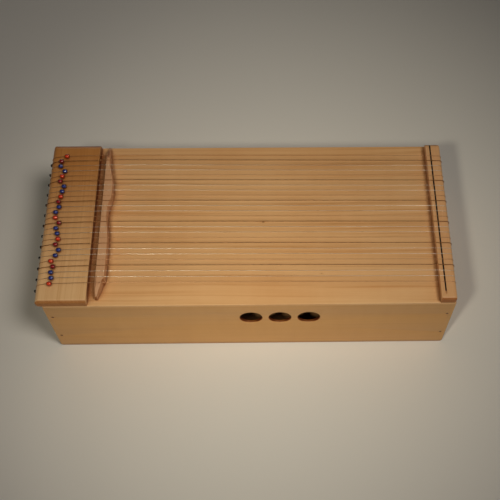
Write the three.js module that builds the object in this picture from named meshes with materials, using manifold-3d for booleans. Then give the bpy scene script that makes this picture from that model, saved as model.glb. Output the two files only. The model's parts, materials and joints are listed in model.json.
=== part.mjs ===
// Body monochord: a long wooden resonator box, played lying flat, with 25 parallel strings on its
// soundboard. Every string starts at a tuning pin in the left end wall, bends over a rounded string
// rest, passes through a fine-tuning bead, crosses the bridge and the nut rod, and ends at a hitch
// pin in the right end wall.
// Millimetres. Origin at the middle of the box's underside, +X from the tuning pins towards the
// nut, +Y away from the player, +Z up. The sound holes are in the wall that faces the player.
import * as THREE from 'three';
import { mergeVertices } from 'three/addons/utils/BufferGeometryUtils.js';
import Module from 'manifold-3d';

const wasm = await Module();
wasm.setup();

// ---- Driving dimensions -------------------------------------------------------------------------

const BOX_LENGTH = 650;
const BOX_DEPTH = 306;
const BOX_HEIGHT = 143;
const BOARD_THICKNESS = 4.5; // soundboard, laid over all four walls
const BACK_THICKNESS = 6; // back board, let in between the walls
const SIDE_WALL = 4.5; // front and rear walls
const PIN_WALL = 28; // left end wall, thick because it holds the tuning pins
const HITCH_WALL = 20; // right end wall
const CORNER_RADIUS = 5; // lower corners and lower end edges of the box
const GLUE_LINE = 0.1;

const BRACE = { width: 10, height: 16, length: 270, spacing: 160, count: 3 };
const SOUND_HOLE = { radius: 17.8, pitch: 46.7, firstX: 0, z: 96.5, count: 3, sides: 28 };

// The blocks' long edges are rounded towards -X and +X, their ends towards -Y (front) and +Y (back).
const REST = {
  overhang: 10.3, width: 80.5, height: 14.5, backInset: 0.5,
  noseRadius: 9, underRadius: 4, rightRadius: 1.5, frontRadius: 6, backRadius: 13,
};
const NUT = {
  width: 25, height: 13.5, backInset: 3, leftRadius: 1, noseRadius: 5, frontRadius: 4, backRadius: 9,
};
const ROD = { radius: 0.95, frontY: -138.5, backY: 145, fromRight: 17.5, proud: 0.9, groove: 1.25 };
const GROOVE_FRONT_Y = -144.5; // the groove for the rod runs on in front of it, and out at the back

const BRIDGE = { fromLeft: 83, height: 21, crown: 4, steps: 44 };
// Y and width of the bridge from its front end to its back end: a tip, two lobes, a waist, a tip.
const BRIDGE_WIDTHS = [
  [-148, 2.5], [-121, 9.6], [-112, 14], [-50, 13.7], [6, 8.8], [18, 8.8], [42, 14], [62, 14],
  [116, 5.6], [148, 3],
];

const STRING_COUNT = 25;
const STRING_PITCH = 10.2;
const WOUND_RADIUS = 0.55;
const PLAIN_RADIUS = 0.4;
const STRING_CLEARANCE = 0.3;

const PIN = { radius: 2.5, embedded: 24, tip: 18.5, head: 4.2, headLength: 4.4, sides: 10 };
const PIN_BORE = { radius: 2.8, depth: 25, sides: 12 };
const PIN_BELOW_TOP = [12.5, 25]; // upper row takes the odd strings, lower row the even ones
const PIN_ASIDE = PIN.radius + STRING_CLEARANCE + 0.5; // a string runs off the side of its pin

const HITCH = { radius: 1.2, bore: 1.5, depth: 10, proud: 4, belowTop: [24, 34], sides: 6 };

const BEAD = { radius: 3.6, hole: 1.0, lift: 0.2, sides: 10 };
// Where each player left the beads, measured from the box's left end, string 1 (far side) to 25.
const BEAD_AT = [16, 8, 7.5, 15.5, 12, 10, 17, 15, 13.5, 11, 13, 8.5, 9, 16, 12, 15, 17.5, 14.5, 20.5,
  16.5, 10.5, 14.5, 12.5, 14, 12];
const BEAD_BACK_TRAVEL = 2; // a bead can move this far towards the pins before its string bends

// ---- Places worked out from them ----------------------------------------------------------------

const LEFT = -BOX_LENGTH / 2;
const RIGHT = BOX_LENGTH / 2;
const FRONT = -BOX_DEPTH / 2;
const BACK = BOX_DEPTH / 2;
const TOP = BOX_HEIGHT;
const WALL_TOP = TOP - BOARD_THICKNESS - GLUE_LINE;
const BLOCK_BOTTOM = TOP + GLUE_LINE;
const REST_LEFT = LEFT - REST.overhang;
const REST_RIGHT = REST_LEFT + REST.width;
const REST_TOP = TOP + REST.height;
const NUT_LEFT = RIGHT - NUT.width;
const NUT_TOP = TOP + NUT.height;
const ROD_X = RIGHT - ROD.fromRight;
const ROD_Z = NUT_TOP + ROD.proud - ROD.radius;
const BRIDGE_LEFT = LEFT + BRIDGE.fromLeft;
const BRIDGE_TOP = TOP + BRIDGE.height;

const stringNumbers = Array.from({ length: STRING_COUNT }, (_, i) => i + 1);
const two = (number) => String(number).padStart(2, '0');
const rowOf = (number) => (number % 2 === 1 ? 0 : 1);
const stringY = (number) => ((STRING_COUNT + 1) / 2 - number) * STRING_PITCH;
const stringRadius = (number) => (number % 4 === 2 ? WOUND_RADIUS : PLAIN_RADIUS);
const pinZ = (number) => TOP - PIN_BELOW_TOP[rowOf(number)];
const beadX = (number) => LEFT + BEAD_AT[number - 1];
const BEAD_Z = REST_TOP + BEAD.lift + BEAD.radius;

// ---- Materials ----------------------------------------------------------------------------------

const wood = (color) => new THREE.MeshStandardMaterial({ color, roughness: 0.55, metalness: 0 });
const gloss = (color) => new THREE.MeshStandardMaterial({ color, roughness: 0.12, metalness: 0 });
const metal = (color, roughness) =>
  new THREE.MeshStandardMaterial({ color, roughness, metalness: 1 });

const MATERIALS = {
  soundboard: wood(0xc79c66),
  caseWood: wood(0xb98c57),
  backBoard: wood(0xc09660),
  restWood: wood(0xb78350),
  bridgeWood: wood(0xbd9069),
  nutWood: wood(0xc29560),
  pin: metal(0x202327, 0.4),
  strings: metal(0xb59a78, 0.3),
  beadRed: gloss(0xd03018),
  beadDarkRed: gloss(0x7c1018),
  beadBlue: gloss(0x182070),
};

const BEAD_CYCLE = [MATERIALS.beadRed, MATERIALS.beadDarkRed, MATERIALS.beadBlue, MATERIALS.beadBlue];

// ---- Geometry helpers ---------------------------------------------------------------------------

function solid(geometry) {
  const bare = geometry.clone();
  bare.deleteAttribute('normal');
  bare.deleteAttribute('uv');
  const merged = mergeVertices(bare, 1e-5);
  return new wasm.Manifold(new wasm.Mesh({
    numProp: 3,
    vertProperties: new Float32Array(merged.attributes.position.array),
    triVerts: new Uint32Array(merged.index.array),
  }));
}

function geometryOf(body) {
  const { vertProperties, triVerts } = body.getMesh();
  const geometry = new THREE.BufferGeometry();
  geometry.setAttribute('position', new THREE.BufferAttribute(new Float32Array(vertProperties), 3));
  geometry.setIndex(new THREE.BufferAttribute(new Uint32Array(triVerts), 1));
  const faceted = geometry.toNonIndexed();
  faceted.computeVertexNormals();
  return faceted;
}

const joined = (bodies) => bodies.reduce((whole, body) => whole.add(body));
const without = (body, cuts) => cuts.reduce((left, cut) => left.subtract(cut), body);

function block(low, high) {
  const size = high.map((value, axis) => value - low[axis]);
  const middle = high.map((value, axis) => (value + low[axis]) / 2);
  return new THREE.BoxGeometry(...size).translate(...middle);
}

// A straight bar of round section from one X to another, lying along X.
function barAlongX(radius, fromX, toX, y, z, sides) {
  const bar = new THREE.CylinderGeometry(radius, radius, toX - fromX, sides);
  return bar.rotateZ(-Math.PI / 2).translate((fromX + toX) / 2, y, z);
}

// Points of an arc, angles in degrees, counter-clockwise when the end is the larger.
function arc(centreX, centreY, radius, fromDeg, toDeg, steps) {
  return Array.from({ length: steps + 1 }, (_, i) => {
    const angle = THREE.MathUtils.degToRad(fromDeg + ((toDeg - fromDeg) * i) / steps);
    return new THREE.Vector2(centreX + radius * Math.cos(angle), centreY + radius * Math.sin(angle));
  });
}

const point = (x, y) => new THREE.Vector2(x, y);
const flat = (outline, depth) =>
  new THREE.ExtrudeGeometry(new THREE.Shape(outline), { depth, bevelEnabled: false });

// An outline drawn in X and Z, extruded between two Y positions.
function extrudedAlongY(outline, fromY, toY) {
  return flat(outline, toY - fromY).rotateX(Math.PI / 2).translate(0, toY, 0);
}

// An outline drawn in Y and Z, extruded between two X positions.
function extrudedAlongX(outline, fromX, toX) {
  const turn = new THREE.Matrix4().makeBasis(
    new THREE.Vector3(0, 1, 0), new THREE.Vector3(0, 0, 1), new THREE.Vector3(1, 0, 0));
  return flat(outline, toX - fromX).applyMatrix4(turn).translate(fromX, 0, 0);
}

// ---- The box ------------------------------------------------------------------------------------

// The soundboard with the cross braces that are glued under it.
function soundboard() {
  const board = solid(block([LEFT, FRONT, TOP - BOARD_THICKNESS], [RIGHT, BACK, TOP]));
  const braceTop = TOP - BOARD_THICKNESS + 0.5;
  const braces = Array.from({ length: BRACE.count }, (_, i) => {
    const x = (i - (BRACE.count - 1) / 2) * BRACE.spacing;
    const low = [x - BRACE.width / 2, -BRACE.length / 2, braceTop - BRACE.height];
    return solid(block(low, [x + BRACE.width / 2, BRACE.length / 2, braceTop]));
  });
  return geometryOf(joined([board, ...braces]));
}

const backBoard = () => block(
  [LEFT + PIN_WALL + GLUE_LINE, FRONT + SIDE_WALL + GLUE_LINE, 0],
  [RIGHT - HITCH_WALL - GLUE_LINE, BACK - SIDE_WALL - GLUE_LINE, BACK_THICKNESS]);

// Long wall with rounded lower corners.
function sideWall(fromY) {
  const r = CORNER_RADIUS;
  const outline = [
    ...arc(LEFT + r, r, r, 180, 270, 5),
    ...arc(RIGHT - r, r, r, 270, 360, 5),
    point(RIGHT, WALL_TOP),
    point(LEFT, WALL_TOP),
  ];
  return extrudedAlongY(outline, fromY, fromY + SIDE_WALL);
}

function frontWall() {
  const holes = Array.from({ length: SOUND_HOLE.count }, (_, i) => {
    const drill = new THREE.CylinderGeometry(
      SOUND_HOLE.radius, SOUND_HOLE.radius, SIDE_WALL + 10, SOUND_HOLE.sides);
    const x = SOUND_HOLE.firstX + i * SOUND_HOLE.pitch;
    return solid(drill.translate(x, FRONT + SIDE_WALL / 2, SOUND_HOLE.z));
  });
  return geometryOf(without(solid(sideWall(FRONT)), holes));
}

// End wall between the long walls, with its lower outer edge rounded. side is -1 left, +1 right.
function endWall(side, thickness) {
  const outer = side * BOX_LENGTH / 2;
  const inner = outer - side * thickness;
  const r = CORNER_RADIUS;
  const rounded = side < 0 ? arc(outer + r, r, r, 180, 270, 5) : arc(outer - r, r, r, 270, 360, 5);
  const outline = side < 0
    ? [...rounded, point(inner, 0), point(inner, WALL_TOP), point(outer, WALL_TOP)]
    : [...rounded, point(outer, WALL_TOP), point(inner, WALL_TOP), point(inner, 0)];
  const inset = SIDE_WALL + GLUE_LINE;
  return solid(extrudedAlongY(outline, FRONT + inset, BACK - inset));
}

// Blind holes for the tuning pins, in two staggered rows.
function pinWall() {
  const bores = stringNumbers.map((number) => solid(barAlongX(
    PIN_BORE.radius, LEFT - 5, LEFT + PIN_BORE.depth,
    stringY(number) + PIN_ASIDE, pinZ(number), PIN_BORE.sides)));
  return geometryOf(without(endWall(-1, PIN_WALL), bores));
}

function hitchWall() {
  const bores = stringNumbers.map((number) => solid(barAlongX(
    HITCH.bore, RIGHT - HITCH.depth - 1, RIGHT + 5,
    stringY(number), TOP - HITCH.belowTop[rowOf(number)], HITCH.sides)));
  return geometryOf(without(endWall(1, HITCH_WALL), bores));
}

// ---- Blocks on the soundboard -------------------------------------------------------------------

// A bar across the soundboard: side view and end view, both with rounded corners, intersected.
// Radii are given by the side they face; under is the radius of the lower edge at the left.
function crossBar({ left, right, top, back, leftRadius, under, rightRadius, frontRadius, backRadius }) {
  const side = [
    ...(under ? arc(left + under, BLOCK_BOTTOM + under, under, 180, 270, 4) : [point(left, BLOCK_BOTTOM)]),
    point(right, BLOCK_BOTTOM),
    ...arc(right - rightRadius, top - rightRadius, rightRadius, 0, 90, 5),
    ...arc(left + leftRadius, top - leftRadius, leftRadius, 90, 180, 5),
  ];
  const end = [
    point(FRONT, BLOCK_BOTTOM), point(back, BLOCK_BOTTOM),
    ...arc(back - backRadius, top - backRadius, backRadius, 0, 90, 6),
    ...arc(FRONT + frontRadius, top - frontRadius, frontRadius, 90, 180, 6),
  ];
  return solid(extrudedAlongY(side, FRONT, back)).intersect(
    solid(extrudedAlongX(end, left - 1, right + 1)));
}

const stringRest = () => geometryOf(crossBar({
  left: REST_LEFT, right: REST_RIGHT, top: REST_TOP, back: BACK - REST.backInset,
  leftRadius: REST.noseRadius, under: REST.underRadius, rightRadius: REST.rightRadius,
  frontRadius: REST.frontRadius, backRadius: REST.backRadius,
}));

// A bar of round section along Y.
function barAlongY(radius, fromY, toY, x, z, sides) {
  const bar = new THREE.CylinderGeometry(radius, radius, toY - fromY, sides);
  return bar.translate(x, (fromY + toY) / 2, z);
}

function nutBlock() {
  const bar = crossBar({
    left: NUT_LEFT, right: RIGHT, top: NUT_TOP, back: BACK - NUT.backInset,
    leftRadius: NUT.leftRadius, under: 0, rightRadius: NUT.noseRadius,
    frontRadius: NUT.frontRadius, backRadius: NUT.backRadius,
  });
  const groove = barAlongY(ROD.groove, GROOVE_FRONT_Y, BACK + 1, ROD_X, ROD_Z, 10);
  return geometryOf(bar.subtract(solid(groove)));
}

// Width of the bridge at a Y, easing from each listed width to the next.
function bridgeWidth(y) {
  const next = BRIDGE_WIDTHS.findIndex(([listedY], i) => i > 0 && y <= listedY);
  const [[fromY, fromWidth], [toY, toWidth]] = BRIDGE_WIDTHS.slice(next - 1, next + 1);
  return fromWidth + (toWidth - fromWidth) * THREE.MathUtils.smoothstep(y, fromY, toY);
}

function bridge() {
  const [firstY, lastY] = [BRIDGE_WIDTHS[0][0], BRIDGE_WIDTHS.at(-1)[0]];
  const lobedSide = Array.from({ length: BRIDGE.steps + 1 }, (_, i) => {
    const y = firstY + ((lastY - firstY) * i) / BRIDGE.steps;
    return point(BRIDGE_LEFT + bridgeWidth(y), y);
  });
  const outline = [point(BRIDGE_LEFT, firstY), ...lobedSide, point(BRIDGE_LEFT, lastY)];
  return flat(outline, BRIDGE.height - GLUE_LINE).translate(0, 0, BLOCK_BOTTOM);
}

// ---- Strings ------------------------------------------------------------------------------------

// A path through given points, one ring of the tube at each point.
class Waypoints extends THREE.Curve {
  constructor(points) {
    super();
    this.points = points;
  }

  getPoint(t, target = new THREE.Vector3()) {
    const scaled = t * (this.points.length - 1);
    const index = Math.min(Math.floor(scaled), this.points.length - 2);
    return target.lerpVectors(this.points[index], this.points[index + 1], scaled - index);
  }

  getPointAt(t, target) {
    return this.getPoint(t, target);
  }

  getTangentAt(t, target = new THREE.Vector3()) {
    const index = Math.round(t * (this.points.length - 1));
    const before = this.points[Math.max(index - 1, 0)];
    const here = this.points[index];
    const after = this.points[Math.min(index + 1, this.points.length - 1)];
    const arriving = here.clone().sub(before).normalize();
    return target.copy(after).sub(here).normalize().add(arriving).normalize();
  }
}

function tube(points, radius) {
  const section = new THREE.Shape(arc(0, 0, radius, 0, 288, 4));
  const extrudePath = new Waypoints(points);
  return new THREE.ExtrudeGeometry(
    section, { steps: points.length - 1, bevelEnabled: false, extrudePath });
}

// Angle, seen from a circle's centre, where a line from an outside point touches the circle.
// turn is +1 for the touching point counter-clockwise of the outside point, -1 for the other.
function touchingAngle(centre, radius, outside, turn) {
  const toOutside = outside.clone().sub(centre);
  const angle = toOutside.angle() + turn * Math.acos(radius / toOutside.length());
  return THREE.MathUtils.radToDeg(angle);
}

// The straight length of a string from its bead to the bridge's crown, as start and end.
function beadRun(number) {
  const crown = point(BRIDGE_LEFT + BRIDGE.crown,
    BRIDGE_TOP + STRING_CLEARANCE + stringRadius(number));
  const bead = point(beadX(number), BEAD_Z);
  const slope = (crown.y - bead.y) / (crown.x - bead.x);
  const bendX = bead.x - BEAD.radius - BEAD_BACK_TRAVEL - 0.2;
  return { bead, slope, bend: point(bendX, bead.y + slope * (bendX - bead.x)), crown };
}

function stringPath(number) {
  const radius = stringRadius(number);
  const offset = STRING_CLEARANCE + radius;
  const { bend, crown } = beadRun(number);

  const restNose = point(REST_LEFT + REST.noseRadius, REST_TOP - REST.noseRadius);
  const restWrap = REST.noseRadius + offset;
  const leaves = touchingAngle(restNose, restWrap, bend, 1);

  const onRod = point(ROD_X, ROD_Z + ROD.radius + 0.5 * radius);
  const nutNose = point(RIGHT - NUT.noseRadius, NUT_TOP - NUT.noseRadius);
  const nutWrap = NUT.noseRadius + offset;
  const lands = touchingAngle(nutNose, nutWrap, onRod, -1);

  const profile = [
    point(REST_LEFT - offset, pinZ(number)),
    ...arc(restNose.x, restNose.y, restWrap, 180, leaves, 4),
    bend,
    crown,
    onRod,
    ...arc(nutNose.x, nutNose.y, nutWrap, lands, 0, 3),
    point(RIGHT + offset, TOP - HITCH.belowTop[rowOf(number)]),
  ];
  return profile.map(({ x, y: z }) => new THREE.Vector3(x, stringY(number), z));
}

// The strings, the nut rod they press on and the hitch pins they end at touch one another.
function stringsAndNutRod() {
  const bodies = [solid(barAlongY(ROD.radius, ROD.frontY, ROD.backY, ROD_X, ROD_Z, 8))];
  for (const number of stringNumbers) {
    bodies.push(solid(tube(stringPath(number), stringRadius(number))));
    bodies.push(solid(barAlongX(HITCH.radius, RIGHT - HITCH.depth, RIGHT + HITCH.proud,
      stringY(number), TOP - HITCH.belowTop[rowOf(number)], HITCH.sides)));
  }
  return geometryOf(joined(bodies));
}

// ---- Moving pieces ------------------------------------------------------------------------------

// Tuning pin along X, in its own place: round shaft in the wall, square head outside.
function tuningPin() {
  const shaftEnd = -PIN.tip + PIN.headLength;
  const shaft = solid(barAlongX(PIN.radius, shaftEnd, PIN.embedded, 0, 0, PIN.sides));
  const half = PIN.head / 2;
  const head = solid(block([-PIN.tip, -half, -half], [shaftEnd + 1, half, half]));
  return geometryOf(shaft.add(head));
}

// Bead with a hole along X, centred on its own middle.
function tuningBead() {
  const holeEdge = THREE.MathUtils.radToDeg(Math.acos(BEAD.hole / BEAD.radius));
  const outer = arc(0, 0, BEAD.radius, -holeEdge, holeEdge, 4);
  return new THREE.LatheGeometry([...outer, outer[0].clone()], BEAD.sides).rotateZ(-Math.PI / 2);
}

// ---- Assembly -----------------------------------------------------------------------------------

const zither = new THREE.Group();

function place(name, geometry, material, x = 0, y = 0, z = 0) {
  const mesh = new THREE.Mesh(geometry, material.clone());
  mesh.name = name;
  mesh.position.set(x, y, z);
  zither.add(mesh);
  return mesh;
}

place('soundboard', soundboard(), MATERIALS.soundboard);
place('back_board', backBoard(), MATERIALS.backBoard);
place('front_wall', frontWall(), MATERIALS.caseWood);
place('rear_wall', sideWall(BACK - SIDE_WALL), MATERIALS.caseWood);
place('pin_wall', pinWall(), MATERIALS.caseWood);
place('hitch_wall', hitchWall(), MATERIALS.caseWood);
place('string_rest', stringRest(), MATERIALS.restWood);
place('bridge', bridge(), MATERIALS.bridgeWood);
place('nut_block', nutBlock(), MATERIALS.nutWood);
place('strings_and_nut_rod', stringsAndNutRod(), MATERIALS.strings);

const pinGeometry = tuningPin();
const beadGeometry = tuningBead();
for (const number of stringNumbers) {
  place(`tuning_pin_${two(number)}`, pinGeometry, MATERIALS.pin,
    LEFT, stringY(number) + PIN_ASIDE, pinZ(number));

  const { bead, slope } = beadRun(number);
  const mesh = place(`tuning_bead_${two(number)}`, beadGeometry,
    BEAD_CYCLE[(number - 1) % BEAD_CYCLE.length], bead.x, stringY(number), bead.y);
  mesh.rotation.y = -Math.atan(slope);
}

export default zither;
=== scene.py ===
"""Looks of the body monochord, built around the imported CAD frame. Metres, row frame, +Z up."""
import json
import math

import bmesh
import bpy
from mathutils import Matrix, Vector

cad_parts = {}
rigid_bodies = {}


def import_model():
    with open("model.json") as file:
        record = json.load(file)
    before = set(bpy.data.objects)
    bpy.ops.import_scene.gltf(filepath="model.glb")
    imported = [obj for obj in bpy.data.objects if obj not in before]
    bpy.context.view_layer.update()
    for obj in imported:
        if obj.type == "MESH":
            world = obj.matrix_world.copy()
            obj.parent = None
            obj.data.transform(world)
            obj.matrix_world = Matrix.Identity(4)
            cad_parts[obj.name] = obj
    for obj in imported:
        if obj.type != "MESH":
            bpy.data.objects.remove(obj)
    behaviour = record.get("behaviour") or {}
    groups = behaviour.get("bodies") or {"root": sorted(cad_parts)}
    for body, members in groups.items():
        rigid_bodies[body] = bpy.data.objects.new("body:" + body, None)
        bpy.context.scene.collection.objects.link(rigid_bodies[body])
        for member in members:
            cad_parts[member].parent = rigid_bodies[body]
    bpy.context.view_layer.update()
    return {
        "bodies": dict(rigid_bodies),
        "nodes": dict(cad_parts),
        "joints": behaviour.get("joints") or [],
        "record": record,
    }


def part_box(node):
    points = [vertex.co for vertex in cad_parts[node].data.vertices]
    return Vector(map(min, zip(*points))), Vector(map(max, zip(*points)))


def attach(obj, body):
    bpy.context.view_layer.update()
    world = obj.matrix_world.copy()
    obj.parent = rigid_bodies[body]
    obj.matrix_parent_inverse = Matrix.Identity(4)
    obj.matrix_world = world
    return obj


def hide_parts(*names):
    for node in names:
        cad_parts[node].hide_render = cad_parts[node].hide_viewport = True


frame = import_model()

MM = 0.001
BOX_BODY = "box"

# ---- Places read from the frame ------------------------------------------------------------------

board_low, board_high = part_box("soundboard")
LEFT, RIGHT = board_low.x, board_high.x
FRONT, BACK = board_low.y, board_high.y
TOP = board_high.z

wall_low, wall_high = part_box("front_wall")
WALL_TOP = wall_high.z
WALL = wall_high.y - wall_low.y

rest_low, rest_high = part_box("string_rest")
bridge_low, bridge_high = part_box("bridge")
nut_low, nut_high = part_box("nut_block")
PIN_WALL_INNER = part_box("pin_wall")[1].x
HITCH_WALL_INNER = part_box("hitch_wall")[0].x

joints = {joint["name"]: joint for joint in frame["joints"]}
STRING_NUMBERS = range(1, 1 + sum(name.startswith("bead_") for name in frame["bodies"]))

# ---- Sizes that the frame does not hold ------------------------------------------------------------

BOARD_THICKNESS = 4.5 * MM
BOX_CORNER = 5 * MM  # lower corners of the walls
SOFT_EDGE = 1.2 * MM  # sanded edges of the box
BRACE_WIDTH, BRACE_LENGTH, BRACE_SPACING = 10 * MM, 270 * MM, 160 * MM

HOLE_RADIUS = 17.8 * MM
HOLE_FIRST_X, HOLE_PITCH, HOLE_Z = 0 * MM, 46.7 * MM, 96.5 * MM
HOLE_FLARE = 1.5 * MM  # round at the mouth
DOWEL_RADIUS, DOWEL_SLACK, DOWEL_PROUD = 2.0 * MM, 0.08 * MM, 0.12 * MM
DOWEL_FROM_END = 8.5 * MM
DOWEL_HEIGHTS = (38 * MM, 105 * MM)

REST_NOSE, REST_UNDER, REST_RIGHT_EDGE, REST_FRONT, REST_BACK = 9 * MM, 4 * MM, 1.5 * MM, 6 * MM, 13 * MM
NUT_NOSE, NUT_LEFT_EDGE, NUT_FRONT, NUT_BACK = 5 * MM, 1 * MM, 4 * MM, 9 * MM
BLOCK_CORNER = 4 * MM  # upright outer edges of string rest and nut block
ROD_RADIUS = 0.95 * MM
ROD_FROM_RIGHT = 17.5 * MM
ROD_FRONT_Y, ROD_BACK_Y, GROOVE_FRONT_Y = -138.5 * MM, 145 * MM, -144.5 * MM
ROD_PROUD = 0.9 * MM

# distance along the bridge from its middle, and its width there
BRIDGE_WIDTHS = [(-148, 2.5), (-121, 9.6), (-112, 14), (-50, 13.7), (6, 8.8), (18, 8.8), (42, 14), (62, 14),
                 (116, 5.6), (148, 3)]
BRIDGE_CROWN = 4 * MM
BRIDGE_FALL_FROM, BRIDGE_FALL = 122 * MM, 14 * MM  # its top slopes down towards both tips
BRIDGE_SHORT = 5 * MM  # its front tip ends this much short of the frame's

PIN_RADIUS, PIN_HEAD = 2.5 * MM, 4.2 * MM
PIN_TIP, PIN_HEAD_LENGTH, PIN_DEPTH = 18.5 * MM, 4.4 * MM, 24 * MM
PIN_SLACK, PIN_BORE_DEPTH = 0.06 * MM, 25 * MM
HITCH_RADIUS, HITCH_PROUD, HITCH_DEPTH = 1.2 * MM, 4 * MM, 9 * MM
HITCH_SLACK, HITCH_BORE_DEPTH = 0.04 * MM, 9.5 * MM
HITCH_BELOW_TOP = (24 * MM, 34 * MM)

BEAD_RADIUS, BEAD_HOLE = 3.6 * MM, 1.0 * MM
BEAD_BACK_TRAVEL = 2.2 * MM
GAP = 0.05 * MM  # left between a wire and what it lies on
WIRE_RADIUS = 0.28 * MM
BRONZE_RADIUS = 0.32 * MM
WOUND_RADIUS = 0.54 * MM
COIL_TURNS, COIL_PITCH = 5, 2.15 * WIRE_RADIUS  # on the tuning pin
TIE_TURNS, TIE_PITCH = 5, 0.62 * MM  # the twist that closes the loop
TIE_START, TIE_END, WINDING_END = 4.6 * MM, 5.5 * MM, 8 * MM  # above the hitch pin

# ---- Mesh helpers ----------------------------------------------------------------------------------


def add_mesh(name, points, faces, sharp_deg=35):
    """A smooth-shaded mesh object, its normals facing out and its edges crisp above the angle."""
    mesh = bpy.data.meshes.new(name)
    mesh.from_pydata([tuple(p) for p in points], [], faces)
    made = bmesh.new()
    made.from_mesh(mesh)
    bmesh.ops.remove_doubles(made, verts=made.verts, dist=1e-7)
    bmesh.ops.recalc_face_normals(made, faces=made.faces)
    made.to_mesh(mesh)
    made.free()
    obj = bpy.data.objects.new(name, mesh)
    bpy.context.scene.collection.objects.link(obj)
    smooth(obj, sharp_deg)
    return obj


def smooth(obj, sharp_deg=35):
    obj.data.shade_smooth()
    obj.data.set_sharp_from_angle(angle=math.radians(sharp_deg))


def ring_faces(rings, size, closed=True):
    """Quads between rings of points, and an end face on the first and last ring."""
    faces = []
    for ring in range(rings - 1):
        for i in range(size):
            j = (i + 1) % size
            a, b = ring * size, (ring + 1) * size
            faces.append((a + i, a + j, b + j, b + i))
    if closed:
        faces.append(tuple(range(size))[::-1])
        faces.append(tuple(range((rings - 1) * size, rings * size)))
    return faces


def tube(name, path, radius, sides=12):
    """A round bar along a path. radius is one number, or one per point.

    The length run so far is kept as a point attribute.
    """
    path = [Vector(p) for p in path]
    radii = radius if isinstance(radius, (list, tuple)) else [radius] * len(path)
    tangents = []
    for i, here in enumerate(path):
        before, after = path[max(i - 1, 0)], path[min(i + 1, len(path) - 1)]
        arriving = (here - before).normalized() if i else Vector()
        leaving = (after - here).normalized() if i < len(path) - 1 else Vector()
        tangents.append((arriving + leaving).normalized())
    side = tangents[0].orthogonal().normalized()
    points, lengths, run = [], [], 0.0
    for i, here in enumerate(path):
        if i:
            side = tangents[i - 1].rotation_difference(tangents[i]) @ side
            run += (here - path[i - 1]).length
        side = (side - tangents[i] * side.dot(tangents[i])).normalized()
        up = tangents[i].cross(side)
        for k in range(sides):
            angle = 2 * math.pi * k / sides
            points.append(here + radii[i] * (math.cos(angle) * side + math.sin(angle) * up))
            lengths.append(run)
    mesh = bpy.data.meshes.new(name)
    mesh.from_pydata([tuple(p) for p in points], [], ring_faces(len(path), sides))
    mesh.attributes.new("along", "FLOAT", "POINT").data.foreach_set("value", lengths)
    made = bmesh.new()
    made.from_mesh(mesh)
    bmesh.ops.recalc_face_normals(made, faces=made.faces)
    made.to_mesh(mesh)
    made.free()
    obj = bpy.data.objects.new(name, mesh)
    bpy.context.scene.collection.objects.link(obj)
    smooth(obj, 50)
    return obj


def turned(name, profile, sides=24, place=Matrix.Identity(4), sharp_deg=35):
    """A turned piece about the X axis: profile is a list of (x, radius), its ends closed by flat faces."""
    points = []
    for x, radius in profile:
        for k in range(sides):
            angle = 2 * math.pi * k / sides
            points.append(place @ Vector((x, radius * math.cos(angle), radius * math.sin(angle))))
    return add_mesh(name, points, ring_faces(len(profile), sides), sharp_deg)


def arc(centre, radius, start_deg, end_deg, steps):
    """Points (a, b) of an arc in a plane."""
    angles = [math.radians(start_deg + (end_deg - start_deg) * i / steps) for i in range(steps + 1)]
    return [(centre[0] + radius * math.cos(a), centre[1] + radius * math.sin(a)) for a in angles]


def lofted(name, outline, levels, weight=lambda p: 1.0, place=Matrix.Identity(4), sharp_deg=35):
    """A block with one outline, counter-clockwise in a plane, swept through (height, inset) levels.

    Each point moves in by inset times its weight, so an edge can stay sharp where it meets a neighbour.
    """
    count = len(outline)
    inward = []
    for i, here in enumerate(outline):
        before, after = Vector(outline[i - 1]), Vector(outline[(i + 1) % count])
        ins = (Vector(here) - before).normalized()
        out = (after - Vector(here)).normalized()
        normal_in, normal_out = Vector((-ins.y, ins.x)), Vector((-out.y, out.x))
        mitre = (normal_in + normal_out).normalized()
        inward.append(mitre / max(0.4, mitre.dot(normal_out)))
    points = []
    for height, inset in levels:
        for i, here in enumerate(outline):
            shifted = Vector(here) + inward[i] * inset * weight(here)
            points.append(place @ Vector((shifted.x, shifted.y, height)))
    return add_mesh(name, points, ring_faces(len(levels), count), sharp_deg)


def eased(depth, edge, steps=4):
    """Levels of a sheet of some depth whose edge at height 0 is rounded."""
    rounded = [(edge * (1 - math.cos(a)), edge * (1 - math.sin(a)))
               for a in (math.pi / 2 * i / steps for i in range(steps + 1))]
    return rounded + [(depth, 0.0)]


def rounded_outline(low, high, left_corner, right_corner, inner_x, inner_y):
    """A rectangle with rounded corners, with extra points where each side leaves its corner zones."""
    near, far = left_corner, right_corner
    outline = (arc((low.x + near, low.y + near), near, 180, 270, 8)
               + arc((high.x - far, low.y + far), far, 270, 360, 8)
               + arc((high.x - far, high.y - far), far, 0, 90, 8)
               + arc((low.x + near, high.y - near), near, 90, 180, 8))
    zone = 4
    filled = []
    for i, here in enumerate(outline):
        filled.append(here)
        after = outline[(i + 1) % len(outline)]
        axis = 0 if abs(after[0] - here[0]) > abs(after[1] - here[1]) else 1
        if (Vector(after) - Vector(here)).length < 2 * max(near, far):
            continue
        first, last = sorted((inner_x, inner_y)[axis], key=lambda mark: abs(mark - here[axis]))
        marks = [here[axis] + (first - here[axis]) * k / zone for k in range(1, zone + 1)]
        marks += [last + (after[axis] - last) * k / zone for k in range(zone)]
        for mark in marks:
            if abs(mark - filled[-1][axis]) > 1e-6 and abs(mark - after[axis]) > 1e-6:
                filled.append((mark, here[1]) if axis == 0 else (here[0], mark))
    return filled


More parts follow.
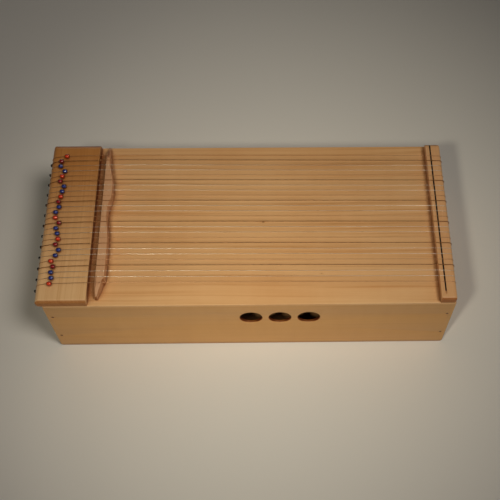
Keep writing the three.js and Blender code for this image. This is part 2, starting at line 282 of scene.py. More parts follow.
def crowned_bar(name, low, high, left, right, front, back, corners, steps=10, under=0.0):
    """A bar whose top edges are rounded by a radius of their own on each side.

    corners are the radii of its upright edges at the left and right, and under that of its lower left edge.
    """
    inner_x = (low.x + left, high.x - right)
    inner_y = (low.y + front, high.y - back)
    filled = rounded_outline(low, high, *corners, inner_x, inner_y)
    rings = [[Vector((x, y, low.z)) for x, y in filled]]
    if under:
        rings = [under_ring(filled, low, under, math.pi / 2 * k / 5) for k in range(6)]
    for k in range(steps + 1):
        angle = math.pi / 2 * k / steps
        ring = []
        for x, y in filled:
            qx = min(max(x, inner_x[0]), inner_x[1])
            qy = min(max(y, inner_y[0]), inner_y[1])
            dx, dy = x - qx, y - qy
            side_x = left if dx < 0 else right
            side_y = front if dy < 0 else back
            total = dx * dx + dy * dy
            drop = (side_x * dx * dx + side_y * dy * dy) / total if total > 0 else 0.0
            ring.append(Vector((qx + dx * math.cos(angle), qy + dy * math.cos(angle),
                                high.z - drop * (1 - math.sin(angle)))))
        rings.append(ring)
    points = [p for ring in rings for p in ring]
    return add_mesh(name, points, ring_faces(len(rings), len(filled)), 40)


def under_ring(outline, low, radius, angle):
    """One level of a rounded lower left edge: angle 0 is at the bottom, 90 degrees at its top."""
    shift = radius * (1 - math.sin(angle))
    ring = []
    for x, y in outline:
        share = max(0.0, 1 - (x - low.x) / (2 * radius))
        ring.append(Vector((x + shift * share, y, low.z + radius * (1 - math.cos(angle)))))
    return ring


def carve(obj, cutters, sharp_deg=35):
    """Cuts the cutters out of obj and deletes them."""
    for cutter in cutters:
        cut = obj.modifiers.new("carve", "BOOLEAN")
        cut.operation, cut.solver, cut.object = "DIFFERENCE", "EXACT", cutter
        evaluated = obj.evaluated_get(bpy.context.evaluated_depsgraph_get())
        carved = bpy.data.meshes.new_from_object(evaluated)
        obj.modifiers.clear()
        obj.data = carved
        bpy.data.objects.remove(cutter)
    smooth(obj, sharp_deg)
    return obj


def join(name, parts):
    """One mesh object from several, keeping each one's material slots."""
    joined, materials = bmesh.new(), []
    for part in parts:
        first = len(joined.faces)
        joined.from_mesh(part.data)
        joined.faces.ensure_lookup_table()
        for face in joined.faces[first:]:
            face.material_index = len(materials)
        materials += list(part.data.materials) or [None]
    mesh = bpy.data.meshes.new(name)
    joined.to_mesh(mesh)
    joined.free()
    for part in parts:
        bpy.data.objects.remove(part)
    for material in materials:
        mesh.materials.append(material)
    obj = bpy.data.objects.new(name, mesh)
    bpy.context.scene.collection.objects.link(obj)
    return obj


def fit(obj, body, material=None, replaces=()):
    """Gives a piece its material and its body, and hides the CAD nodes it stands for."""
    if material is not None:
        obj.data.materials.clear()
        obj.data.materials.append(material)
    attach(obj, body)
    if replaces:
        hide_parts(*replaces)
    return obj


# ---- Materials -------------------------------------------------------------------------------------


class Shader:
    """Builds one material. Methods that make a node return its output, ready to feed the next."""

    def __init__(self, name):
        self.material = bpy.data.materials.new(name)
        self.material.use_nodes = True
        self.tree = self.material.node_tree
        self.surface = self.tree.nodes["Principled BSDF"]
        self.coordinates = self.add("ShaderNodeTexCoord")
        self.place = self.coordinates.outputs["Object"]

    def add(self, kind, inputs=None, **settings):
        made = self.tree.nodes.new(kind)
        for key, value in settings.items():
            setattr(made, key, value)
        for key, value in (inputs or {}).items():
            if isinstance(value, bpy.types.NodeSocket):
                self.tree.links.new(value, made.inputs[key])
            else:
                made.inputs[key].default_value = value
        return made

    def math(self, operation, a, b=0.0):
        return self.add("ShaderNodeMath", {0: a, 1: b}, operation=operation).outputs[0]

    def scaled(self, value, gain, offset=0.0):
        return self.math("ADD", self.math("MULTIPLY", value, gain), offset)

    def total(self, *values):
        result = values[0]
        for value in values[1:]:
            result = self.math("ADD", result, value)
        return result

    def split(self):
        return self.add("ShaderNodeSeparateXYZ", {0: self.place}).outputs

    def join(self, x, y, z):
        return self.add("ShaderNodeCombineXYZ", {0: x, 1: y, 2: z}).outputs[0]

    def noise(self, vector, scale=1.0, detail=3.0, roughness=0.5, distortion=0.0):
        inputs = {"Vector": vector, "Scale": scale, "Detail": detail, "Roughness": roughness,
                  "Distortion": distortion}
        return self.add("ShaderNodeTexNoise", inputs).outputs[0]

    def between(self, value, low, high, to_low=0.0, to_high=1.0):
        inputs = {"Value": value, "From Min": low, "From Max": high, "To Min": to_low, "To Max": to_high}
        return self.add("ShaderNodeMapRange", inputs, interpolation_type="SMOOTHSTEP").outputs[0]

    def mix(self, factor, a, b, blend="MIX"):
        made = self.add("ShaderNodeMix", data_type="RGBA", blend_type=blend)
        for index, value in ((0, factor), (6, a), (7, b)):
            if isinstance(value, bpy.types.NodeSocket):
                self.tree.links.new(value, made.inputs[index])
            else:
                made.inputs[index].default_value = value if index == 0 else (*value, 1.0)
        return made.outputs[2]

    def ramp(self, factor, stops):
        made = self.add("ShaderNodeValToRGB", {0: factor})
        elements = made.color_ramp.elements
        for index, (position, colour) in enumerate(stops):
            element = elements[index] if index < len(elements) else elements.new(position)
            element.position, element.color = position, (*colour, 1.0)
        return made.outputs[0]

    def bump(self, height, distance, strength=1.0):
        inputs = {"Height": height, "Distance": distance, "Strength": strength}
        return self.add("ShaderNodeBump", inputs).outputs[0]

    def finish(self, **inputs):
        for key, value in inputs.items():
            socket = self.surface.inputs[key.replace("_", " ")]
            if isinstance(value, bpy.types.NodeSocket):
                self.tree.links.new(value, socket)
            else:
                socket.default_value = value
        return self.material


def edge_nearness(s, low, high, reach):
    """1 on the edges of a box, falling to 0 at a distance from them."""
    x, y, z = s.split()
    distances = []
    for value, near, far in zip((x, y, z), low, high):
        from_near = s.math("ABSOLUTE", s.scaled(value, 1.0, -near))
        from_far = s.math("ABSOLUTE", s.scaled(value, 1.0, -far))
        distances.append(s.math("MINIMUM", from_near, from_far))
    a, b, c = distances
    middle = s.math("MAXIMUM", s.math("MINIMUM", a, b), s.math("MINIMUM", s.math("MAXIMUM", a, b), c))
    return s.between(middle, 0.0, reach, 1.0, 0.0)


NARROW_LINES, FIBRE_LINES = 6, 26  # to each broad growth line
DEEPEST = 0.45  # the darkest grain, as a share of the dark tone
MEAN_DARKNESS = 0.36
WORN_REACH, WORN_SHARE = 2.5 * MM, 0.25  # how far in from an edge it is paler, and how much
KNOT_STRETCH = 0.40  # a knot is longer along the grain than across it
END_TONE = (0.50, 0.29, 0.10)
# painted shade on the walls of holes, behind a wall's outer face
HOLE_SHADE_TONE = (0.30, 0.17, 0.09)
# painted shade: how far the enclosure test reaches, and the tint it multiplies into corners and gaps
PAINTED_SHADE_REACH = 18 * MM
PAINTED_SHADE_TONE = (0.30, 0.10, 0.020)


def growth_track(s, along, across, depth, seed, knots):
    """Distance across the growth lines, drifting and bent round knots, and how dark the knots are."""
    sway_place = s.join(s.scaled(along, 2.2, seed), s.scaled(across, 3.0), s.scaled(depth, 3.0))
    sway = s.noise(sway_place, detail=1.0)
    track = s.total(across, s.scaled(depth, 0.7), s.scaled(sway, 24 * MM, -12 * MM))
    knot_dark = 0.0
    for knot_along, knot_across, size in knots:
        off_along = s.scaled(along, KNOT_STRETCH, -KNOT_STRETCH * knot_along)
        off_across = s.scaled(across, 1.0, -knot_across)
        far = s.math("SQRT", s.total(s.math("MULTIPLY", off_along, off_along),
                                     s.math("MULTIPLY", off_across, off_across)))
        bend = s.between(far, size, size * 8, 1.0, 0.0)
        track = s.total(track, s.math("MULTIPLY", bend, s.math("MULTIPLY", off_across, -0.8)))
        heart = s.between(far, size * 0.3, size, 1.0, 0.0)
        halo = s.between(far, size, size * 5, 1.0, 0.0)
        knot_dark = s.total(knot_dark, s.scaled(heart, 1.1), s.scaled(halo, 0.14))
    return track, knot_dark


def grain_layers(s, along, across, depth, track, seed, lines):
    """The noises that the wood's darkness and relief are built from."""
    cloud_place = s.join(s.scaled(along, 5.0, seed), s.scaled(across, 11.0), s.scaled(depth, 11.0))
    curl_place = s.join(s.scaled(along, 48.0), s.scaled(across, 8.0), s.scaled(depth, 8.0, seed))
    broad_place = s.join(s.scaled(along, 1.4), s.scaled(track, lines, seed), 0.0)
    narrow_place = s.join(s.scaled(along, 1.8), s.scaled(track, lines * NARROW_LINES, seed), 0.0)
    fibre_track = s.scaled(track, lines * FIBRE_LINES, seed)
    fibre_place = s.join(s.scaled(along, 9.0), fibre_track, s.scaled(depth, 300.0))
    pore_place = s.join(s.scaled(along, 95.0), s.scaled(across, 1900.0), s.scaled(depth, 1900.0))
    return {
        "cloud": s.noise(cloud_place, detail=2.0),
        "curl": s.noise(curl_place, detail=2.0),
        "broad": s.noise(broad_place, detail=2.0, roughness=0.55),
        "late": s.between(s.noise(narrow_place, detail=2.0), 0.50, 0.74),
        "fibre": s.noise(fibre_place, detail=3.0, roughness=0.6),
        "pores": s.between(s.noise(pore_place, detail=1.0), 0.60, 0.72),
    }


def end_grain_share(s, axis):
    """1 where the surface cuts across the fibres, which run along the axis."""
    normal = s.add("ShaderNodeSeparateXYZ", {0: s.coordinates.outputs["Normal"]})
    return s.between(s.math("ABSOLUTE", normal.outputs["XYZ".index(axis)]), 0.28, 0.60)


def end_grain_and_painted_shade(s, colour, along, across, depth, end_grain):
    """Darkens end grain, where oil sinks in, and paints shade into narrow corners and gaps, darker the more
    enclosed they are.
    """
    speckle_place = s.join(s.scaled(along, 60.0), s.scaled(across, 900.0), s.scaled(depth, 900.0))
    mottle = s.between(s.noise(speckle_place, detail=2.0), 0.3, 0.7, 0.8, 1.0)
    colour = s.mix(s.math("MULTIPLY", end_grain, mottle), colour, END_TONE, "MULTIPLY")
    # painted shade: corners, gaps and recesses are darkened the more enclosed they are
    open_sky = s.add("ShaderNodeAmbientOcclusion", {"Distance": PAINTED_SHADE_REACH}, samples=8).outputs["AO"]
    return s.mix(s.between(open_sky, 0.25, 0.80, 1.0, 0.0), colour, PAINTED_SHADE_TONE, "MULTIPLY")


def wood(name, box, pale, dark, grain="XYZ", seed=0.0, growth=0.30, fibres=0.22, patches=0.20,
         figure=0.10, lines=30.0, knots=(), roughness=0.40, shade_behind_face=None, painted_light_ends=None):
    """Oiled wood.

    grain names the axes along the grain, across the board and through it. lines is how many broad growth
    lines there are to a metre. growth, fibres, patches and figure are the strengths of the grain's layers,
    and knots are (along, across, size). The second last argument is the height of an outer face, along the
    depth axis, behind which the walls of holes get painted shade. The last is a painted light tint at the
    box's low and high end along the grain, lighter and paler at one end and darker at the other.
    """
    s = Shader(name)
    axes = dict(zip("XYZ", s.split()))
    along, across, depth = (axes[axis] for axis in grain)
    track, knot_dark = growth_track(s, along, across, depth, seed, knots)
    layers = grain_layers(s, along, across, depth, track, seed, lines)
    fibre, late, pores = layers["fibre"], layers["late"], layers["pores"]
    darkness = s.total(
        MEAN_DARKNESS, s.scaled(layers["broad"], growth, -growth / 2), s.scaled(late, growth * 0.5),
        s.scaled(fibre, fibres, -fibres / 2), s.scaled(layers["cloud"], patches, -patches / 2),
        s.scaled(layers["curl"], figure, -figure / 2), s.scaled(pores, 0.07), knot_dark)
    deepest = tuple(DEEPEST * d for d in dark)
    colour = s.ramp(darkness, [(0.0, pale), (0.70, dark), (1.0, deepest)])

    # painted light: tints the wood from one end to the other along the grain
    if painted_light_ends is not None:
        axis = "XYZ".index(grain[0])
        colour = s.mix(1.0, colour, s.mix(s.between(along, box[0][axis], box[1][axis]), *painted_light_ends), "MULTIPLY")
    # painted shade: the walls of holes, behind the outer face, are darkened
    if shade_behind_face is not None:
        behind = s.math("ABSOLUTE", s.scaled(depth, 1.0, -shade_behind_face))
        colour = s.mix(s.between(behind, 0.15 * MM, 1.5 * MM), colour, HOLE_SHADE_TONE, "MULTIPLY")
    end_grain = end_grain_share(s, grain[0])
    # darker end grain, and painted shade in corners and gaps
    colour = end_grain_and_painted_shade(s, colour, along, across, depth, end_grain)

    wear = s.math("MULTIPLY", edge_nearness(s, *box, WORN_REACH), s.between(fibre, 0.35, 0.65))
    wear = s.math("MULTIPLY", wear, s.scaled(end_grain, -1.0, 1.0))
    colour = s.mix(s.scaled(wear, WORN_SHARE), colour, tuple(min(1.0, 1.2 * p) for p in pale))
    relief = s.total(s.scaled(fibre, 0.6), s.scaled(late, 0.3), s.scaled(pores, -0.9))
    return s.finish(
        Base_Color=colour,
        Roughness=s.total(roughness, s.scaled(fibre, 0.14, -0.07), s.scaled(end_grain, 0.15),
                          s.scaled(wear, -0.06)),
        Specular_IOR_Level=0.46,
        Normal=s.bump(relief, 0.08 * MM, 0.4))


def steel(name, colour, roughness, grime=0.3):
    """Drawn wire and turned pins: fine scratches along the metal and faint tarnish."""
    s = Shader(name)
    scratches = s.noise(s.place, 2600.0, 2.0)
    tarnish = s.between(s.noise(s.place, 240.0, 4.0), 0.45, 0.75)
    dull = tuple(0.45 * c for c in colour)
    return s.finish(
        Base_Color=s.mix(s.scaled(tarnish, grime), colour, dull),
        Metallic=1.0,
        Roughness=s.total(roughness, s.scaled(scratches, 0.14, -0.07), s.scaled(tarnish, 0.12)),
        Normal=s.bump(scratches, 0.02 * MM, 0.12))


def wound_wire(name, colour, pitch=0.30 * MM):
    """Bronze wire wound round a core, drawn from the length kept on the mesh."""
    s = Shader(name)
    length = s.add("ShaderNodeAttribute", attribute_name="along").outputs["Fac"]
    turn = s.math("PINGPONG", s.scaled(length, 1 / pitch), 0.5)
    dome = s.math("SQRT", s.math("MAXIMUM", s.scaled(turn, 2.0), 0.0001))
    tarnish = s.between(s.noise(s.place, 160.0, 3.0), 0.35, 0.75)
    bright = s.mix(s.scaled(tarnish, 0.6), colour, tuple(0.4 * c for c in colour))
    return s.finish(
        # painted shade: darker in the grooves between the turns
        Base_Color=s.mix(s.between(dome, 0.2, 0.8), tuple(0.40 * c for c in colour), bright),
        Metallic=1.0,
        Roughness=s.total(0.36, s.scaled(tarnish, 0.15)),
        Normal=s.bump(dome, 0.08 * MM, 0.8))


def bead_glass(name, heart, rim):
    """Glossy pressed glass with faint swirls, and painted shade: lighter where it faces the eye, darker at
    its rim.
    """
    s = Shader(name)
    facing = s.add("ShaderNodeLayerWeight", {"Blend": 0.5}).outputs["Facing"]
    swirl = s.noise(s.place, 420.0, 3.0, distortion=1.2)
    # painted shade: the colour darkens from the bead's middle, as seen, towards its rim
    depth = s.between(s.total(facing, s.scaled(swirl, 0.16, -0.08)), 0.04, 0.42)
    return s.finish(
        Base_Color=s.mix(depth, heart, rim),
        Roughness=s.total(0.16, s.scaled(swirl, 0.08)),
        Coat_Weight=1.0,
        Coat_Roughness=0.08,
        Normal=s.bump(swirl, 0.03 * MM, 0.3))


BACKDROP = (0.36, 0.35, 0.33)
AMBIENT, AMBIENT_STRENGTH = (0.95, 0.97, 1.0), 0.018
PAPER_TONES = (0.78, 0.765, 0.72), (0.80, 0.785, 0.745)
GLOW_FROM, GLOW_FULL = 0.90, 2.0  # metres from the middle of the box


def floor_paper():
    """Pale paper. Far from the object it glows faintly, like a backdrop with lamps of its own."""
    s = Shader("floor_paper")
    tone = s.noise(s.place, 3.0, 3.0)
    tooth = s.noise(s.place, 900.0, 2.0)
    away = s.add("ShaderNodeVectorMath", {0: s.place}, operation="LENGTH").outputs["Value"]
    return s.finish(
        Base_Color=s.mix(tone, *PAPER_TONES),
        Roughness=s.total(0.75, s.scaled(tooth, 0.1)),
        Emission_Color=(*BACKDROP, 1.0),
        Emission_Strength=s.between(away, GLOW_FROM, GLOW_FULL),
        Normal=s.bump(tooth, 0.05 * MM, 0.3))


BOARD_TONES = {"pale": (0.94, 0.60, 0.300), "dark": (0.68, 0.330, 0.118)}
CASE_TONES = {"pale": (0.84, 0.480, 0.168), "dark": (0.59, 0.275, 0.080)}
REST_TONES = {"pale": (0.84, 0.47, 0.195), "dark": (0.56, 0.240, 0.072)}
# painted light: the string rest is tinted lighter and paler at its front end, where the lamps' sheen falls,
# and darker at its back
REST_PAINTED_LIGHT = (1.16, 1.42, 1.85), (0.78, 0.64, 0.42)
NUT_TONES = {"pale": (0.94, 0.57, 0.290), "dark": (0.66, 0.320, 0.125)}
BRIDGE_TONES = {"pale": (0.78, 0.45, 0.24), "dark": (0.58, 0.29, 0.145)}
INSIDE_TONES = {"pale": (0.34, 0.185, 0.080), "dark": (0.22, 0.105, 0.040)}
DOWEL_TONES = {"pale": (0.36, 0.18, 0.075), "dark": (0.22, 0.09, 0.03)}

PLAIN_STEEL = steel("plain_steel_wire", (0.80, 0.75, 0.65), 0.29, 0.15)
BRONZE_WIRE = steel("bronze_wire", (0.60, 0.33, 0.18), 0.36, 0.35)
WOUND_BRONZE = wound_wire("wound_bronze_wire", (0.52, 0.26, 0.11))
BLUED_STEEL = steel("blued_steel", (0.045, 0.047, 0.055), 0.30, 0.5)
# each bead's colour in its middle, and its painted shade at the rim
BEAD_GLASS = {
    "bead_red": bead_glass("bead_red_glass", (0.86, 0.070, 0.016), (0.24, 0.006, 0.003)),
    "bead_dark_red": bead_glass("bead_dark_red_glass", (0.34, 0.014, 0.020), (0.05, 0.001, 0.002)),
    "bead_blue": bead_glass("bead_blue_glass", (0.030, 0.050, 0.30), (0.0015, 0.002, 0.018)),
}

# ---- The box ---------------------------------------------------------------------------------------

# turns a drawing in X and Z, with height towards +Y, into the row frame
FROM_FRONT = Matrix(((1, 0, 0, 0), (0, 0, 1, 0), (0, 1, 0, 0), (0, 0, 0, 1)))
FROM_BACK = Matrix(((1, 0, 0, 0), (0, 0, -1, 0), (0, 1, 0, 0), (0, 0, 0, 1)))


def soundboard():
    low = Vector((LEFT, FRONT, TOP - BOARD_THICKNESS))
    edge = 1.0 * MM
    board = crowned_bar("soundboard_panel", low, board_high, edge, edge, edge, edge, (edge, edge), 4)
    material = wood("soundboard_wood", (low, board_high), **BOARD_TONES, growth=0.58, patches=0.40,
                    knots=[(21 * MM, 0 * MM, 1.3 * MM), (114 * MM, -98 * MM, 0.5 * MM)])
    return fit(board, BOX_BODY, material, ["soundboard"])


def braces():
    half_width, half_length = BRACE_WIDTH / 2, BRACE_LENGTH / 2
    top = TOP - BOARD_THICKNESS - 0.05 * MM
    for index in range(3):
        x = (index - 1) * BRACE_SPACING
        low = Vector((x - half_width, -half_length, board_low.z))
        high = Vector((x + half_width, half_length, top))
        outline = [(low.x, low.y), (high.x, low.y), (high.x, high.y), (low.x, high.y)]
        levels = [(low.z, 1.5 * MM), (low.z + 1.5 * MM, 0), (top, 0)]
        brace = lofted(f"brace_{index + 1}", outline, levels)
        fit(brace, BOX_BODY,
            wood(f"brace_{index + 1}_wood", (low, high), **BOARD_TONES, grain="YXZ", seed=20.0 + index))


def wall_outline():
    """Long wall seen from the front, counter-clockwise, with rounded lower corners."""
    r = BOX_CORNER
    return (arc((LEFT + r, r), r, 180, 270, 8) + arc((RIGHT - r, r), r, 270, 360, 8)
            + [(RIGHT, WALL_TOP), (LEFT, WALL_TOP)])


def ease_below_top(point):
    return 0.0 if point[1] > WALL_TOP - 1e-6 else 1.0


def dowel_places():
    return [(x, z) for x in (LEFT + DOWEL_FROM_END, RIGHT - DOWEL_FROM_END) for z in DOWEL_HEIGHTS]


def drill(x, z, radius, y, flare, outward):
    """A cutter along Y for a hole whose mouth at y is flared by a small round. outward is -1 or +1."""
    profile = [(-WALL - 4 * MM, radius)]
    profile += [(flare * (math.sin(a) - 1), radius + flare * (1 - math.cos(a)))
                for a in (math.pi / 2 * i / 4 for i in range(5))]
    profile += [(4 * MM, radius + flare)]
    place = Matrix.Translation((x, y, z)) @ Matrix.Rotation(math.radians(90 * outward), 4, "Z")
    return turned("cutter", profile, 56, place)


def long_wall(name, node, y, outward, grain_seed, sound_holes):
    place = (Matrix.Translation((0, y, 0)) @ (FROM_FRONT if outward < 0 else FROM_BACK))
    wall = lofted(name, wall_outline(), eased(WALL, SOFT_EDGE), ease_below_top, place)
    cutters = [drill(x, z, DOWEL_RADIUS + DOWEL_SLACK, y, 0.15 * MM, outward) for x, z in dowel_places()]
    for index in range(sound_holes):
        x = HOLE_FIRST_X + index * HOLE_PITCH
        cutters.append(drill(x, HOLE_Z, HOLE_RADIUS, y, HOLE_FLARE, outward))
    carve(wall, cutters)
    low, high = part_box(node)
    material = wood(name + "_wood", (low, high), **CASE_TONES, grain="XZY", seed=grain_seed,
                    growth=0.22, fibres=0.16, patches=0.16, figure=0.16, shade_behind_face=y)
    fit(wall, BOX_BODY, material, [node])

    for index, (x, z) in enumerate(dowel_places()):
        profile = [(-WALL + 0.5 * MM, DOWEL_RADIUS), (-0.3 * MM, DOWEL_RADIUS),
                   (0, DOWEL_RADIUS - 0.25 * MM), (DOWEL_PROUD, DOWEL_RADIUS * 0.6),
                   (DOWEL_PROUD, 0.4 * MM)]
        centre, reach = Vector((x, y, z)), Vector((3, 3, 3)) * MM
        turn = Matrix.Translation(centre) @ Matrix.Rotation(math.radians(90 * outward), 4, "Z")
        plug = turned(f"{name}_dowel_{index + 1}", profile, 28, turn)
        box = (centre - reach, centre + reach)
        fit(plug, BOX_BODY,
            wood(plug.name + "_wood", box, **DOWEL_TONES, grain="YXZ", seed=40.0 + index, lines=300.0))


def end_wall(name, node, outer, inner, side, seed, bores):
    """End wall between the long walls, its lower outer edge rounded, with blind bores in its outer face."""
    r = BOX_CORNER
    low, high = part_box(node)
    if side < 0:
        outline = arc((outer + r, r), r, 180, 270, 8) + [(inner, 0), (inner, WALL_TOP), (outer, WALL_TOP)]
    else:
        outline = arc((outer - r, r), r, 270, 360, 8) + [(outer, WALL_TOP), (inner, WALL_TOP), (inner, 0)]
    place = Matrix.Translation((0, low.y, 0)) @ FROM_FRONT
    wall = lofted(name, outline, [(0, 0), (high.y - low.y, 0)], place=place)
    carve(wall, bores)
    material = wood(name + "_wood", (low, high), **CASE_TONES, grain="YZX", seed=seed)
    return fit(wall, BOX_BODY, material, [node])


def bore_cutter(radius, depth, face_x, side, y, z):
    profile = [(-depth, radius), (-0.3 * MM, radius), (0, radius + 0.3 * MM), (3 * MM, radius + 0.3 * MM)]
    turn = Matrix.Translation((face_x, y, z))
    if side < 0:
        turn = turn @ Matrix.Rotation(math.pi, 4, "Z")
    return turned("cutter", profile, 24, turn)


def pin_place(number):
    return Vector(joints[f"turn_pin_{number:02d}"]["pos_m"])


def bead_place(number):
    low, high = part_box(f"tuning_bead_{number:02d}")
    return (low + high) / 2


def string_y(number):
    return bead_place(number).y


def hitch_z(number):
    return TOP - HITCH_BELOW_TOP[(number + 1) % 2]


def box_pieces():
    soundboard()
    braces()
    long_wall("front_panel", "front_wall", FRONT, -1, 3.0, 3)
    long_wall("rear_panel", "rear_wall", BACK, 1, 11.0, 0)
    pin_bores = [bore_cutter(PIN_RADIUS + PIN_SLACK, PIN_BORE_DEPTH, LEFT, -1, *pin_place(n).yz)
                 for n in STRING_NUMBERS]
    end_wall("pin_plank", "pin_wall", LEFT, PIN_WALL_INNER, -1, 15.0, [join("cutter", pin_bores)])
    hitch_bores = [bore_cutter(HITCH_RADIUS + HITCH_SLACK, HITCH_BORE_DEPTH, RIGHT, 1, string_y(n),
                               hitch_z(n)) for n in STRING_NUMBERS]
    end_wall("hitch_plank", "hitch_wall", RIGHT, HITCH_WALL_INNER, 1, 18.0, [join("cutter", hitch_bores)])

    back = frame["nodes"]["back_board"]
    back.data.materials.clear()
    back.data.materials.append(wood("back_board_wood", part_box("back_board"), **INSIDE_TONES, seed=31.0))


# ---- Blocks on the soundboard ----------------------------------------------------------------------


def string_rest():
    rest = crowned_bar("string_rest_block", rest_low, rest_high, REST_NOSE, REST_RIGHT_EDGE,
                       REST_FRONT, REST_BACK, (BLOCK_CORNER, REST_RIGHT_EDGE), 14, REST_UNDER)
    material = wood("string_rest_wood", (rest_low, rest_high), **REST_TONES, grain="YXZ", seed=50.0,
                    growth=0.42, fibres=0.44, patches=0.22, figure=0.08, lines=50.0, painted_light_ends=REST_PAINTED_LIGHT)
    return fit(rest, BOX_BODY, material, ["string_rest"])


def half_round(length, radius, steps=5):
    """Profile of the domed start of a round bar."""
    angles = (math.pi / 2 * i / steps for i in range(steps + 1))
    return [(length + radius * (1 - math.cos(a)), radius * max(0.08, math.sin(a))) for a in angles]


def nut_block():
    block = crowned_bar("nut_block_bar", nut_low, nut_high, NUT_LEFT_EDGE, NUT_NOSE,
                        NUT_FRONT, NUT_BACK, (NUT_LEFT_EDGE, BLOCK_CORNER), 10)
    rod_x, rod_z = RIGHT - ROD_FROM_RIGHT, nut_high.z + ROD_PROUD - ROD_RADIUS
    turn = Matrix.Translation((rod_x, 0, rod_z)) @ Matrix.Rotation(math.pi / 2, 4, "Z")
    groove = ROD_RADIUS + 0.3 * MM
    profile = half_round(GROOVE_FRONT_Y, groove) + [(BACK + 1 * MM, groove)]
    carve(block, [turned("cutter", profile, 24, turn)], 40)
    material = wood("nut_block_wood", (nut_low, nut_high), **NUT_TONES, grain="YXZ", seed=60.0,
                    growth=0.20, fibres=0.26, patches=0.2, figure=0.12, lines=60.0)
    fit(block, BOX_BODY, material, ["nut_block"])

    back_end = [(-x, radius) for x, radius in half_round(-ROD_BACK_Y, ROD_RADIUS)][::-1]
    rod = turned("nut_rod", half_round(ROD_FRONT_Y, ROD_RADIUS) + back_end, 20, turn)
    fit(rod, BOX_BODY, BLUED_STEEL)


def bridge_width(y):
    """Eases from each listed width to the next."""
    for (near, near_width), (far, far_width) in zip(BRIDGE_WIDTHS, BRIDGE_WIDTHS[1:]):
        if y <= far * MM or far == BRIDGE_WIDTHS[-1][0]:
            t = min(max((y / MM - near) / (far - near), 0.0), 1.0)
            return (near_width + (far_width - near_width) * t * t * (3 - 2 * t)) * MM


def bridge_top(y):
    """Height of the bridge's top edge."""
    past = max(0.0, abs(y) - BRIDGE_FALL_FROM) / (bridge_high.y - BRIDGE_FALL_FROM)
    return bridge_high.z - BRIDGE_FALL * past ** 1.3


def bridge():
    near, far = bridge_low.y + BRIDGE_SHORT, bridge_high.y
    left, height = bridge_low.x, bridge_high.z
    steps, edge = 120, 0.9 * MM
    along = [near + (far - near) * i / steps for i in range(steps + 1)]
    lobed = [(left + bridge_width(y), y) for y in along]
    straight = [(left, y) for y in along]
    outline = lobed + straight[::-1]
    levels = [(bridge_low.z, 0.0), (height - edge, 0.0)]
    levels += [(height - edge + edge * math.sin(a), edge * (1 - math.cos(a)))
               for a in (math.pi / 2 * i / 4 for i in range(1, 5))]
    # the edge towards the pins is planed off more
    piece = lofted("bridge_bar", outline, levels, lambda p: 1.3 if p[0] < left + 1e-6 else 0.6)
    for vertex in piece.data.vertices:
        lowered = (bridge_top(vertex.co.y) - bridge_low.z) / (height - bridge_low.z)
        vertex.co.z = bridge_low.z + (vertex.co.z - bridge_low.z) * lowered
    material = wood("bridge_wood", (bridge_low, bridge_high), **BRIDGE_TONES, grain="YXZ", seed=70.0,
                    growth=0.16, fibres=0.2, patches=0.16, figure=0.14, lines=60.0, roughness=0.5)
    fit(piece, BOX_BODY, material, ["bridge"])

    # a small pin through each tip keeps the bridge in place
    for index, y in enumerate((near + 3 * MM, far - 4 * MM)):
        place = Matrix.Translation((left + 1.3 * MM, y, bridge_top(y)))
        turn = place @ Matrix.Rotation(-math.pi / 2, 4, "Y")
        profile = [(-5 * MM, 0.5 * MM), (0.25 * MM, 0.5 * MM), (0.45 * MM, 0.35 * MM),
                   (0.5 * MM, 0.1 * MM)]
        fit(turned(f"bridge_end_pin_{index + 1}", profile, 16, turn), BOX_BODY, BLUED_STEEL)


# ---- Strings, pins and beads -----------------------------------------------------------------------


def kind_of(number):
    """The strings repeat in fours: one thin bronze, one wound, two plain steel."""
    return ("bronze", "wound", "plain", "plain")[(number - 1) % 4]


WIRES = {
    "bronze": (BRONZE_RADIUS, BRONZE_WIRE),
    "wound": (WOUND_RADIUS, WOUND_BRONZE),
    "plain": (WIRE_RADIUS, PLAIN_STEEL),
}


def bare_wire(number):
    """The metal of a string where it isn't wound: the core of a wound string is plain steel."""
    return PLAIN_STEEL if kind_of(number) == "wound" else WIRES[kind_of(number)][1]


def touching_angle(centre, radius, outside, turn):
    """Angle, seen from a circle's centre, where a line from an outside point touches the circle."""
    toward = outside - centre
    return math.degrees(math.atan2(toward.y, toward.x) + turn * math.acos(radius / toward.length))


def round_the_coil(number, radius):
    """Three quarters of a turn round the coil on the pin, towards the string rest."""
    pin = pin_place(number)
    aside = PIN_RADIUS + 2 * WIRE_RADIUS + GAP + WIRE_RADIUS
    face_x = rest_low.x - GAP - radius
    points, steps, lead = [], 18, 1.2 * MM
    for i in range(steps + 1):
        angle = math.pi + math.radians(270) * (1 - i / steps)
        points.append((face_x + lead * (1 - i / steps), pin.y + aside * math.cos(angle),
                       pin.z + aside * math.sin(angle)))
    return points


